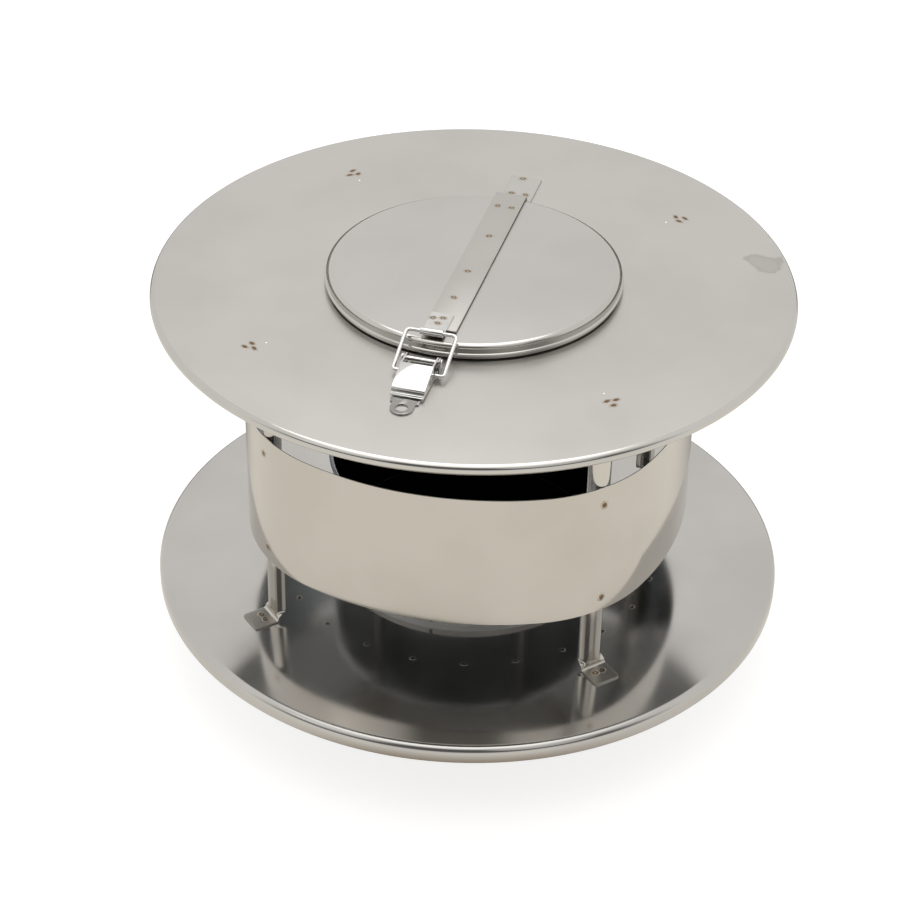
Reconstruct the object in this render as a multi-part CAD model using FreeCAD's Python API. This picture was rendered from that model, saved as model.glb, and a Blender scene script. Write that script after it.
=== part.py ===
import FreeCAD, Part
import math
import os

# Sheet-metal chimney cap: a base plate with its flue pipe, four legs, a wind band,
# a flat top plate and a hinged cleaning hatch with a toggle latch.
# Millimetres, +Z up. The origin is the centre of the spigot's lower end.
# The latch is on the -Y side and the hinge on the +Y side.

# Flue pipe
SPIGOT_RADIUS = 89.5        # outside, goes into a 180 mm flue
SPIGOT_SHEET = 0.8
SPIGOT_LENGTH = 60.0        # below the base plate
SPIGOT_UPSTAND = 3.0        # above the base plate, inside the riser
SPIGOT_NECKING = 1.6        # how far that upper end is pressed in
PIPE_FIT = 0.2              # round the spigot, inside base plate and riser
RISER_SHEET = 0.8
RISER_HEIGHT = 77.0         # above the base plate
RISER_FOOT = 3.4            # how far its foot is turned out onto the base plate
RISER_BEND = 0.4            # inner radius of that bend
RISER_CURL = 1.6            # section radius of the riser's rolled rim

# Base plate
BASE_RADIUS = 204.0
PLATE_SHEET = 1.0
BASE_SHOULDER = 5.0
BASE_LIP = 11.0             # from the top face to the lip's lower edge
BASE_HEM = 5.0
BASE_FOLD = 0.8             # rounding of the hem's folded edge

# Legs
LEG_COUNT = 4
LEG_FIRST_ANGLE = 47.3      # about the axis, counted from +X
LEG_HEIGHT = 204.5          # clear height between the two plates
LEG_CROWN = 149.0           # distance of the leg's outer face from the axis
LEG_WIDTH = 16.0
LEG_DEPTH = 7.5
LEG_SHEET = 1.2
FOOT_WIDTH = 17.5
FOOT_REACH = 15.0           # beyond the leg's outer face
FOOT_CORNER = 1.5

# Wind band
BAND_SHEET = 0.8
BAND_HEIGHT = 93.6
BAND_BELOW_TOP = 63.9       # from the top plate's underside to the band's upper edge
BAND_LOBE = 8.3             # how much nearer the axis it runs between two legs
BAND_FIT = 0.05             # between band and leg

# Top plate
TOP_RADIUS = 200.0
TOP_BEAD = 3.5              # section radius of the rolled edge
TOP_BEAD_TURN = 260.0

# Hatch neck and lid
NECK_RADIUS = 88.0
NECK_SHEET = 0.8
NECK_FLANGE = 9.0
NECK_BEND = 0.5
LID_ABOVE_PLATE = 1.1
LID_SHEET = 0.8
LID_DEPTH = 9.4             # from the lid's lower edge to its flat top
LID_SKIRT_GAP = 1.8         # between the neck and the lid's hem
LID_HEM_WIDTH = 2.6
LID_HEM_HEIGHT = 3.0
LID_HEM_STEP = 1.1          # how far the hem stands out from the skirt
LID_HEM_ROUND = 1.2
LID_HEM_RISE = 0.6          # of the slope between hem and skirt
LID_STEP_ROUND = 0.4        # where that slope meets the skirt
LID_SHOULDER = 4.0
LID_SEAT_GAP = 0.4

# Strap and hinge
STRAP_WIDTH = 20.0
STRAP_SHEET = 1.0
STRAP_SHORT = 8.5           # from the strap's front end forward to the wire's axis
STRAP_BEND = 3.5
LEAF_SHEET = 1.3
LEAF_LENGTH = 38.5          # from the hinge axis
PIN_RADIUS = 1.5
PIN_CLEARANCE = 0.05
PIN_OVERHANG = 0.4
KNUCKLE_WIDTH = 9.7
SIDE_GAP = 0.3              # between parts that move past each other

# Catch keeper and bail
LATCH_OFFSET = 2.5          # of the whole latch towards -X, as it is welded on
KEEPER_WIDTH = 14.0
KEEPER_SHEET = 1.0
KEEPER_REACH = 24.5         # from the keeper's rear end forward to the wire's axis
WIRE_INSET = 5.9            # from the outside of the lid's hem inwards to the wire's axis
WIRE_RADIUS = 1.25
WIRE_CLEARANCE = 0.07
WIRE_BEND = 3.0
BAIL_WIDTH = 33.5

# Toggle latch
BASE_STRIP_WIDTH = 17.0
BASE_STRIP_CLEAR = 6.6      # from the outside of the lid's hem forward to the strip's rear end
BASE_STRIP_LENGTH = 45.0
LATCH_SHEET = 1.0
EYE_BEYOND = 5.0            # from the strip's front end forward to the eye's centre
EYE_TAB_RADIUS = 7.0
EYE_RADIUS = 3.7
LEVER_WIDTH = 20.0
LEVER_SHEET = 1.0
LEVER_CLEAR = 14.6          # from the outside of the lid's hem forward to the lever's pivot
PIVOT_HEIGHT = 6.0          # above the latch base's top face
WEB_START = 10.5            # from the pivot forward to the web's rear edge
WEB_END = 29.8              # and to its front face
WEB_HEIGHT = 3.9            # of the web's rear edge above the pivot
WEB_DROP = 5.4              # how much lower its front edge is
WEB_BEND = 0.8              # inner radius of the web's bends
LEVER_LIP = 2.5             # of the lip to lift it by, beyond the front face
CHEEK_INSET = 0.2           # of the cheeks below the web's top face
CHEEK_BACK = 5.0            # from the pivot forward to where the cheeks' lower edge starts
CHEEK_ROUND = 2.5
EAR_GAP = 0.4
EAR_RADIUS = 3.2
BAIL_END_FORWARD = 8.5      # of the bail's lower end in front of the lever's pivot
BAIL_END_DROP = 3.5         # below it, so that the pull passes under the pivot
HEAD_RADIUS = 2.6
HEAD_HEIGHT = 0.8
HEAD_GAP = 0.15

# Heights
BASE_TOP = SPIGOT_LENGTH + PLATE_SHEET
TOP_UNDER = BASE_TOP + LEG_HEIGHT
TOP_FACE = TOP_UNDER + PLATE_SHEET
BAND_TOP = TOP_UNDER - BAND_BELOW_TOP
LID_BOTTOM = TOP_FACE + LID_ABOVE_PLATE
LID_TOP = LID_BOTTOM + LID_DEPTH
STRAP_TOP = LID_TOP + STRAP_SHEET

# Fits
NECKED_RADIUS = SPIGOT_RADIUS - SPIGOT_NECKING
RISER_INNER = NECKED_RADIUS + PIPE_FIT
RISER_RADIUS = RISER_INNER + RISER_SHEET
HEM_INNER = NECK_RADIUS + LID_SKIRT_GAP
HEM_OUTER = HEM_INNER + LID_HEM_WIDTH
SKIRT_OUTER = HEM_OUTER - LID_HEM_STEP
SKIRT_INNER = SKIRT_OUTER - LID_SHEET
PIN_BORE = PIN_RADIUS + PIN_CLEARANCE
LEAF_KNUCKLE = PIN_BORE + LEAF_SHEET
STRAP_KNUCKLE = PIN_BORE + STRAP_SHEET
HINGE_Y = HEM_OUTER + LEAF_KNUCKLE + SIDE_GAP
HINGE_Z = TOP_FACE + LEAF_KNUCKLE
WIRE_BORE = WIRE_RADIUS + WIRE_CLEARANCE
KEEPER_CURL = WIRE_BORE + KEEPER_SHEET
WIRE_Z = STRAP_TOP + KEEPER_CURL
LATCH_TOP = TOP_FACE + LATCH_SHEET
PIVOT_Z = LATCH_TOP + PIVOT_HEIGHT
EAR_INNER = LEVER_WIDTH / 2 + EAR_GAP
EAR_OUTER = EAR_INNER + LATCH_SHEET

# Distances forward from the cap's axis
KEEPER_AXIS = HEM_OUTER - WIRE_INSET
KEEPER_REAR = KEEPER_AXIS - KEEPER_REACH
STRAP_FRONT = KEEPER_AXIS - STRAP_SHORT
LEVER_PIVOT = HEM_OUTER + LEVER_CLEAR
BASE_STRIP_REAR = HEM_OUTER + BASE_STRIP_CLEAR
BASE_STRIP_FRONT = BASE_STRIP_REAR + BASE_STRIP_LENGTH
EYE_CENTRE = BASE_STRIP_FRONT + EYE_BEYOND


def vector(x, y, z):
    return FreeCAD.Vector(x, y, z)


def in_section(radius, height):
    """A point of a section that is spun about the cap's axis."""
    return vector(radius, 0, height)


def in_plan(x, y):
    return vector(x, y, 0)


def at_front(distance, height):
    """A point of a side view on the latch's side of the cap."""
    return vector(0, -distance, height)


def at_rear(distance, height):
    """A point of a side view on the hinge's side of the cap."""
    return vector(0, distance, height)


def corner_arc(before, corner, after, radius):
    """Start, middle and end of the arc that rounds a corner."""
    back = (before - corner).normalize()
    ahead = (after - corner).normalize()
    half = back.getAngle(ahead) / 2
    setback = radius / math.tan(half)
    inward = (back + ahead).normalize()
    centre = corner + inward * (radius / math.sin(half))
    return corner + back * setback, centre - inward * radius, corner + ahead * setback


def bent_wire(corners, place, closed=True):
    """A wire through corners (a, b, rounding radius) that place turns into points."""
    points = [place(a, b) for a, b, _ in corners]
    count = len(points)
    stretches = []
    for i, (_, _, radius) in enumerate(corners):
        at_end = not closed and i in (0, count - 1)
        if radius and not at_end:
            stretches.append(corner_arc(points[i - 1], points[i], points[(i + 1) % count], radius))
        else:
            stretches.append((points[i], None, points[i]))
    edges = []
    for i, (start, middle, end) in enumerate(stretches):
        if middle:
            edges.append(Part.Arc(start, middle, end).toShape())
        following = stretches[(i + 1) % count][0]
        last = not closed and i == count - 1
        if not last and end.distanceToPoint(following) > 1e-6:
            edges.append(Part.LineSegment(end, following).toShape())
    return Part.Wire(edges)


def spun(corners):
    """A solid of revolution about the cap's axis."""
    section = Part.Face(bent_wire(corners, in_section))
    return section.revolve(vector(0, 0, 0), vector(0, 0, 1), 360)


def across(corners, place, width, start=None):
    """A side profile given a width along X, centred unless a start is given."""
    x = -width / 2 if start is None else start
    solid = Part.Face(bent_wire(corners, place)).extrude(vector(width, 0, 0))
    solid.translate(vector(x, 0, 0))
    return solid


def rod(radius, start, length, centre):
    """A cylinder along X from start, on the axis through centre."""
    return Part.makeCylinder(radius, length, vector(start, centre.y, centre.z), vector(1, 0, 0))


def both_sides(solid):
    """The solid and its mirror image in the plane X = 0."""
    return [solid, solid.mirror(vector(0, 0, 0), vector(1, 0, 0))]


def base_plate():
    hole = SPIGOT_RADIUS + PIPE_FIT
    under = BASE_TOP - PLATE_SHEET
    bottom = BASE_TOP - BASE_LIP
    hem_inner = BASE_RADIUS - 2 * PLATE_SHEET
    return spun([
        (hole, under, 0),
        (hole, BASE_TOP, 0),
        (BASE_RADIUS, BASE_TOP, BASE_SHOULDER),
        (BASE_RADIUS, bottom, BASE_FOLD),
        (hem_inner, bottom, BASE_FOLD),
        (hem_inner, bottom + BASE_HEM, 0),
        (BASE_RADIUS - PLATE_SHEET, bottom + BASE_HEM, 0),
        (BASE_RADIUS - PLATE_SHEET, under, BASE_SHOULDER - PLATE_SHEET),
    ])


def flue_spigot():
    """The pipe that enters the flue, its upper end pressed in to enter the riser.

    It narrows on its way through the base plate.
    """
    inner = SPIGOT_RADIUS - SPIGOT_SHEET
    necked_inner = NECKED_RADIUS - SPIGOT_SHEET
    under = BASE_TOP - PLATE_SHEET
    top = BASE_TOP + SPIGOT_UPSTAND
    turn = math.atan2(SPIGOT_NECKING, PLATE_SHEET)
    drop = SPIGOT_SHEET * math.tan(turn / 2)
    return spun([
        (inner, 0, 0),
        (SPIGOT_RADIUS, 0, 0),
        (SPIGOT_RADIUS, under, 0),
        (NECKED_RADIUS, BASE_TOP, 0),
        (NECKED_RADIUS, top, 0),
        (necked_inner, top, 0),
        (necked_inner, BASE_TOP - drop, 0),
        (inner, under - drop, 0),
    ])


def flue_riser():
    """The pipe inside the band, its foot turned out and its rim rolled outwards."""
    top = BASE_TOP + RISER_HEIGHT
    foot = RISER_RADIUS + RISER_FOOT
    foot_top = BASE_TOP + RISER_SHEET
    tube = spun([
        (RISER_INNER, BASE_TOP, RISER_BEND + RISER_SHEET),
        (foot, BASE_TOP, 0),
        (foot, foot_top, 0),
        (RISER_RADIUS, foot_top, RISER_BEND),
        (RISER_RADIUS, top - RISER_CURL, 0),
        (RISER_INNER, top - RISER_CURL, 0),
    ])
    rim = Part.makeTorus(RISER_INNER + RISER_CURL, RISER_CURL, vector(0, 0, top - RISER_CURL))
    return tube.fuse(rim).removeSplitter()


def leg_channel():
    """The half-round strip of a leg that stands at angle 0."""
    outer = LEG_WIDTH / 2
    inner = outer - LEG_SHEET
    centre = LEG_CROWN - outer
    edge = LEG_CROWN - LEG_DEPTH
    outer_y = math.sqrt(outer ** 2 - (edge - centre) ** 2)
    inner_y = math.sqrt(inner ** 2 - (edge - centre) ** 2)
    wire = Part.Wire([
        Part.Arc(in_plan(edge, -outer_y), in_plan(LEG_CROWN, 0), in_plan(edge, outer_y)).toShape(),
        Part.LineSegment(in_plan(edge, outer_y), in_plan(edge, inner_y)).toShape(),
        Part.Arc(in_plan(edge, inner_y), in_plan(centre + inner, 0), in_plan(edge, -inner_y)).toShape(),
        Part.LineSegment(in_plan(edge, -inner_y), in_plan(edge, -outer_y)).toShape(),
    ])
    channel = Part.Face(wire).extrude(vector(0, 0, LEG_HEIGHT))
    channel.translate(vector(0, 0, BASE_TOP))
    return channel


def leg_foot(height):
    inner = LEG_CROWN - LEG_DEPTH
    outer = LEG_CROWN + FOOT_REACH
    half = FOOT_WIDTH / 2
    outline = bent_wire([
        (inner, -half, 0),
        (outer, -half, FOOT_CORNER),
        (outer, half, FOOT_CORNER),
        (inner, half, 0),
    ], in_plan)
    foot = Part.Face(outline).extrude(vector(0, 0, LEG_SHEET))
    foot.translate(vector(0, 0, height))
    return foot


def leg(angle):
    feet = [leg_foot(BASE_TOP), leg_foot(TOP_UNDER - LEG_SHEET)]
    solid = leg_channel().multiFuse(feet).removeSplitter()
    solid.rotate(vector(0, 0, 0), vector(0, 0, 1), angle)
    return solid


def band_arcs(inset):
    """The band's outline in plan, inset from its outer face: an arc at each leg, a flatter one between."""
    quarter = math.pi / LEG_COUNT
    half = quarter / 2
    at_leg = LEG_CROWN + BAND_FIT + BAND_SHEET
    between = at_leg - BAND_LOBE
    # Both arcs meet where the outline has turned by half of a quarter, with one tangent.
    rise = math.sin(quarter) / math.sin(half)
    slope = 1 - math.cos(half)
    sharp = (between - at_leg * (math.cos(quarter) + slope * rise)) / (
        math.cos(half) - math.cos(quarter) - slope * (rise - 1))
    flat = rise * (at_leg - sharp) + sharp
    leg_centre = at_leg - sharp
    flat_centre = between - flat
    edges = []
    for k in range(LEG_COUNT):
        mid = math.radians(LEG_FIRST_ANGLE) + 2 * k * quarter
        edges.append(plan_arc(leg_centre, mid, sharp - inset, half))
        edges.append(plan_arc(flat_centre, mid + quarter, flat - inset, half))
    return Part.Wire(edges)


def plan_arc(distance, azimuth, radius, half_angle):
    """An arc about a centre at a distance along an azimuth, symmetric to that azimuth."""
    centre = in_plan(distance * math.cos(azimuth), distance * math.sin(azimuth))
    points = []
    for turn in (-half_angle, 0, half_angle):
        points.append(centre + in_plan(math.cos(azimuth + turn), math.sin(azimuth + turn)) * radius)
    return Part.Arc(*points).toShape()


def wind_band():
    outer = Part.Face(band_arcs(0))
    inner = Part.Face(band_arcs(BAND_SHEET))
    band = outer.cut(inner).extrude(vector(0, 0, BAND_HEIGHT))
    band.translate(vector(0, 0, BAND_TOP - BAND_HEIGHT))
    return band


def top_plate():
    """A flat disc whose edge is rolled downwards and inwards into a bead."""
    hole = NECK_RADIUS + NECK_BEND
    centre = in_section(TOP_RADIUS - TOP_BEAD, TOP_FACE - TOP_BEAD)
    inner = TOP_BEAD - PLATE_SHEET

    def on_bead(radius, turned):
        angle = math.radians(90 - turned)
        return centre + in_section(radius * math.cos(angle), radius * math.sin(angle))

    wire = Part.Wire([
        Part.LineSegment(in_section(hole, TOP_UNDER), in_section(hole, TOP_FACE)).toShape(),
        Part.LineSegment(in_section(hole, TOP_FACE), on_bead(TOP_BEAD, 0)).toShape(),
        Part.Arc(on_bead(TOP_BEAD, 0), on_bead(TOP_BEAD, TOP_BEAD_TURN / 2),
                 on_bead(TOP_BEAD, TOP_BEAD_TURN)).toShape(),
        Part.LineSegment(on_bead(TOP_BEAD, TOP_BEAD_TURN), on_bead(inner, TOP_BEAD_TURN)).toShape(),
        Part.Arc(on_bead(inner, TOP_BEAD_TURN), on_bead(inner, TOP_BEAD_TURN / 2),
                 on_bead(inner, 0)).toShape(),
        Part.LineSegment(on_bead(inner, 0), in_section(hole, TOP_UNDER)).toShape(),
    ])
    return Part.Face(wire).revolve(vector(0, 0, 0), vector(0, 0, 1), 360)


def hatch_neck():
    """The collar that the lid closes over, flanged under the top plate."""
    inner = NECK_RADIUS - NECK_SHEET
    flange = NECK_RADIUS + NECK_FLANGE
    top = LID_TOP - LID_SHEET - LID_SEAT_GAP
    bottom = TOP_UNDER - NECK_SHEET
    return spun([
        (inner, bottom, NECK_BEND + NECK_SHEET),
        (flange, bottom, 0),
        (flange, TOP_UNDER, 0),
        (NECK_RADIUS, TOP_UNDER, NECK_BEND),
        (NECK_RADIUS, top, 0),
        (inner, top, 0),
    ])


def hatch_lid():
    """A pressed lid with a rounded shoulder and a rolled hem that stands out at its foot."""
    hem_top = LID_BOTTOM + LID_HEM_HEIGHT
    under = LID_TOP - LID_SHEET
    return spun([
        (0, under, 0),
        (SKIRT_INNER, under, LID_SHOULDER - LID_SHEET),
        (SKIRT_INNER, hem_top, 0),
        (HEM_INNER, hem_top, 0),
        (HEM_INNER, LID_BOTTOM, LID_HEM_ROUND / 2),
        (HEM_OUTER, LID_BOTTOM, LID_HEM_ROUND),
        (HEM_OUTER, hem_top, LID_HEM_ROUND),
        (SKIRT_OUTER, hem_top + LID_HEM_RISE, LID_STEP_ROUND),
        (SKIRT_OUTER, LID_TOP, LID_SHOULDER),
        (0, LID_TOP, 0),
    ])


def hinge_axis():
    return at_rear(HINGE_Y, HINGE_Z)


def lid_strap():
    """The strap across the lid, bent down behind it to the hinge's middle knuckle."""
    face = HINGE_Y - STRAP_KNUCKLE
    shoulder_end = HINGE_Z + LEAF_KNUCKLE + SIDE_GAP
    strip = across([
        (-STRAP_FRONT, LID_TOP, 0),
        (face, LID_TOP, STRAP_BEND - STRAP_SHEET),
        (face, shoulder_end, 0),
        (face + STRAP_SHEET, shoulder_end, 0),
        (face + STRAP_SHEET, STRAP_TOP, STRAP_BEND),
        (-STRAP_FRONT, STRAP_TOP, 0),
    ], at_rear, STRAP_WIDTH)
    tongue = Part.makeBox(KNUCKLE_WIDTH, STRAP_SHEET, shoulder_end - HINGE_Z,
                          vector(-KNUCKLE_WIDTH / 2, face, HINGE_Z))
    knuckle = rod(STRAP_KNUCKLE, -KNUCKLE_WIDTH / 2, KNUCKLE_WIDTH, hinge_axis())
    bore = rod(PIN_BORE, -KNUCKLE_WIDTH / 2, KNUCKLE_WIDTH, hinge_axis())
    return strip.multiFuse([tongue, knuckle]).cut(bore).removeSplitter()


def hinge_leaf():
    """The leaf on the top plate, with a knuckle on each side of the strap's."""
    inner = KNUCKLE_WIDTH / 2 + SIDE_GAP
    width = STRAP_WIDTH / 2 - inner
    notch = STRAP_KNUCKLE + SIDE_GAP
    plate = Part.makeBox(STRAP_WIDTH, LEAF_LENGTH, LEAF_SHEET,
                         vector(-STRAP_WIDTH / 2, HINGE_Y, TOP_FACE))
    gap = Part.makeBox(2 * inner, notch, LEAF_SHEET, vector(-inner, HINGE_Y, TOP_FACE))
    knuckles = both_sides(rod(LEAF_KNUCKLE, inner, width, hinge_axis()))
    bore = rod(PIN_BORE, -STRAP_WIDTH / 2, STRAP_WIDTH, hinge_axis())
    return plate.cut(gap).multiFuse(knuckles).cut(bore).removeSplitter()


def hinge_pin():
    half = STRAP_WIDTH / 2 + PIN_OVERHANG
    return rod(PIN_RADIUS, -half, 2 * half, hinge_axis())


def catch_keeper():
    """The catch welded on the strap, its front edge curled round the bail's wire."""
    centre = at_front(KEEPER_AXIS, WIRE_Z)
    plate = across([
        (KEEPER_REAR, STRAP_TOP, 0),
        (KEEPER_AXIS, STRAP_TOP, 0),
        (KEEPER_AXIS, STRAP_TOP + KEEPER_SHEET, 0),
        (KEEPER_REAR, STRAP_TOP + KEEPER_SHEET, 0),
    ], at_front, KEEPER_WIDTH)
    curl = rod(KEEPER_CURL, -KEEPER_WIDTH / 2, KEEPER_WIDTH, centre)
    bore = rod(WIRE_BORE, -KEEPER_WIDTH / 2, KEEPER_WIDTH, centre)
    return plate.fuse(curl).cut(bore).removeSplitter()


def latch_bail():
    """The wire loop: through the keeper's curl, down both sides and in beside the lever."""
    half = BAIL_WIDTH / 2 - WIRE_RADIUS
    end = LEVER_WIDTH / 2 + SIDE_GAP
    upper = at_front(KEEPER_AXIS, WIRE_Z)
    lower = from_pivot(BAIL_END_FORWARD, -BAIL_END_DROP)

    def beside(side, station):
        return vector(side, station.y, station.z)

    corners = [
        (beside(-end, lower), 0),
        (beside(-half, lower), WIRE_RADIUS),
        (beside(-half, upper), WIRE_BEND),
        (beside(half, upper), WIRE_BEND),
        (beside(half, lower), WIRE_RADIUS),
        (beside(end, lower), 0),
    ]
    path = bent_wire([(i, 0, radius) for i, (_, radius) in enumerate(corners)],
                     lambda i, _: corners[i][0], closed=False)
    section = Part.Wire(Part.makeCircle(WIRE_RADIUS, corners[0][0], vector(1, 0, 0)))
    return path.makePipeShell([section], True, True, 1)


def from_pivot(forward, up):
    """A point of the latch's side view, counted from the lever's pivot."""
    return at_front(LEVER_PIVOT + forward, PIVOT_Z + up)


def latch_base():
    """The latch's foot on the top plate: an ear on each side of the lever and a round tab with an eye."""
    pivot = from_pivot(0, 0)
    strip = Part.makeBox(BASE_STRIP_WIDTH, BASE_STRIP_FRONT - BASE_STRIP_REAR, LATCH_SHEET,
                         vector(-BASE_STRIP_WIDTH / 2, -BASE_STRIP_FRONT, TOP_FACE))
    wings = Part.makeBox(2 * EAR_OUTER, 2 * EAR_RADIUS, LATCH_SHEET,
                         vector(-EAR_OUTER, pivot.y - EAR_RADIUS, TOP_FACE))
    neck = Part.makeBox(2 * EYE_TAB_RADIUS, EYE_CENTRE - BASE_STRIP_FRONT, LATCH_SHEET,
                        vector(-EYE_TAB_RADIUS, -EYE_CENTRE, TOP_FACE))
    tab = Part.makeCylinder(EYE_TAB_RADIUS, LATCH_SHEET, vector(0, -EYE_CENTRE, TOP_FACE))
    eye = Part.makeCylinder(EYE_RADIUS, LATCH_SHEET, vector(0, -EYE_CENTRE, TOP_FACE))
    ear = Part.makeBox(LATCH_SHEET, 2 * EAR_RADIUS, PIVOT_Z - TOP_FACE,
                       vector(EAR_INNER, pivot.y - EAR_RADIUS, TOP_FACE))
    ear = ear.fuse(rod(EAR_RADIUS, EAR_INNER, LATCH_SHEET, pivot))
    hole = rod(PIN_BORE, -EAR_OUTER, 2 * EAR_OUTER, pivot)
    return strip.multiFuse([wings, neck, tab] + both_sides(ear)).cut(eye).cut(hole).removeSplitter()


def lever_cheek(low):
    """One side of the lever, from its round end at the pivot into the web's front wall."""
    start = LEVER_WIDTH / 2 - LEVER_SHEET
    front = WEB_END - LEVER_SHEET / 2
    plate = across([
        (0, EAR_RADIUS, 0),
        (WEB_START, WEB_HEIGHT - CHEEK_INSET, CHEEK_ROUND),
        (front, WEB_HEIGHT - WEB_DROP - CHEEK_INSET, WEB_BEND + LEVER_SHEET),
        (front, low, 0),
        (CHEEK_BACK, low, CHEEK_ROUND),
        (0, -EAR_RADIUS, 0),
    ], from_pivot, LEVER_SHEET, start)
    return plate.fuse(rod(EAR_RADIUS, start, LEVER_SHEET, from_pivot(0, 0)))


def latch_lever():
    """A pressed channel that slopes down to its tip: two cheeks, a web on top and a lip to lift."""
    low = SIDE_GAP - PIVOT_HEIGHT
    tip_top = WEB_HEIGHT - WEB_DROP
    outer_bend = WEB_BEND + LEVER_SHEET
    web = across([
        (WEB_START, WEB_HEIGHT - LEVER_SHEET, 0),
        (WEB_START, WEB_HEIGHT, 0),
        (WEB_END, tip_top, outer_bend),
        (WEB_END, low + LEVER_SHEET, WEB_BEND),
        (WEB_END + LEVER_LIP, low + LEVER_SHEET, 0),
        (WEB_END + LEVER_LIP, low, 0),
        (WEB_END - LEVER_SHEET, low, outer_bend),
        (WEB_END - LEVER_SHEET, tip_top - LEVER_SHEET, WEB_BEND),
    ], from_pivot, LEVER_WIDTH)
    pin_hole = rod(PIN_BORE, -LEVER_WIDTH / 2, LEVER_WIDTH, from_pivot(0, 0))
    bail_hole = rod(WIRE_BORE, -LEVER_WIDTH / 2, LEVER_WIDTH, from_pivot(BAIL_END_FORWARD, -BAIL_END_DROP))
    return web.multiFuse(both_sides(lever_cheek(low))).cut(pin_hole).cut(bail_hole).removeSplitter()


def lever_pin():
    """The rivet through cheeks and ears, with a flat head outside each ear."""
    pivot = from_pivot(0, 0)
    half = EAR_OUTER + HEAD_GAP
    shank = rod(PIN_RADIUS, -half, 2 * half, pivot)
    heads = both_sides(rod(HEAD_RADIUS, half, HEAD_HEIGHT, pivot))
    return shank.multiFuse(heads).removeSplitter()


def main():
    os.makedirs("parts", exist_ok=True)
    pieces = {
        "base_plate": base_plate(),
        "flue_spigot": flue_spigot(),
        "flue_riser": flue_riser(),
        "wind_band": wind_band(),
        "top_plate": top_plate(),
        "hatch_neck": hatch_neck(),
        "hatch_lid": hatch_lid(),
        "lid_strap": lid_strap(),
        "hinge_leaf": hinge_leaf(),
        "hinge_pin": hinge_pin(),
        "catch_keeper": catch_keeper(),
        "latch_bail": latch_bail(),
        "latch_base": latch_base(),
        "latch_lever": latch_lever(),
        "lever_pin": lever_pin(),
    }
    for name in ("catch_keeper", "latch_bail", "latch_base", "latch_lever", "lever_pin"):
        pieces[name].translate(vector(-LATCH_OFFSET, 0, 0))
    for k in range(LEG_COUNT):
        pieces[f"leg_{k + 1}"] = leg(LEG_FIRST_ANGLE + k * 360 / LEG_COUNT)
    for name, shape in pieces.items():
        box = shape.BoundBox
        print(name, shape.isValid(), len(shape.Solids), round(shape.Volume),
              [round(v, 2) for v in (box.XMin, box.XMax, box.YMin, box.YMax, box.ZMin, box.ZMax)])
        shape.exportStep(f"parts/{name}.step")


main()
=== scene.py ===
"""Looks of a stainless chimney cap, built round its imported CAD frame. Metres, +Z up."""
import math

import bmesh
import bpy
from mathutils import Matrix, Vector

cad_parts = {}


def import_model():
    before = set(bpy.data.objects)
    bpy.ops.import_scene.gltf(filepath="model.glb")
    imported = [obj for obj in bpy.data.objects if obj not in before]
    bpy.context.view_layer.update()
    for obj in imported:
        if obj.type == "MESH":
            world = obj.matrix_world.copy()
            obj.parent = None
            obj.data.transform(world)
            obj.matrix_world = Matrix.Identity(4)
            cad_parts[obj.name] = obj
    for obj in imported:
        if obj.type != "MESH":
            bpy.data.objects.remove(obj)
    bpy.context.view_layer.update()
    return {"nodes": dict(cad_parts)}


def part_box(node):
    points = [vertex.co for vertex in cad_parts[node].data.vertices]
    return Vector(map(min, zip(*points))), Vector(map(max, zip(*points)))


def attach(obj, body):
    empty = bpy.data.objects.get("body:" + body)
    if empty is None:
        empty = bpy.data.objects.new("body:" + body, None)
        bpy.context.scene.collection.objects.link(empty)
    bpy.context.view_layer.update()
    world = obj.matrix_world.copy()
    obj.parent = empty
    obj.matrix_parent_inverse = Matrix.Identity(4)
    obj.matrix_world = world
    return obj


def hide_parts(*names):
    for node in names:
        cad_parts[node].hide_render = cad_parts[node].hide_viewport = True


MM = 0.001
X, Y, Z = range(3)

# Camera of the reference view
CAMERA_PLACE = Vector((0.3382, -1.3090, 1.0893))
CAMERA_TARGET = Vector((0.0029, -0.0606, 0.1791))
CAMERA_ROLL = math.radians(1.055)
CAMERA_LENS = 102.0
CAMERA_SENSOR = 36.0
TO_CAMERA = Vector((CAMERA_PLACE.x, CAMERA_PLACE.y, 0)).normalized()

# Mesh fineness
AROUND = 360
ARC_STEPS = 8
BEAD_STEPS = 36
CURL_STEPS = 20
BAND_STEPS = 48
SHARP_ANGLE = math.radians(38)
BEVEL_ANGLE = math.radians(40)
LEVEL_ANGLE = math.radians(1.0)

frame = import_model()


def low(node):
    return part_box(node)[0]


def high(node):
    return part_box(node)[1]


# Materials


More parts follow.
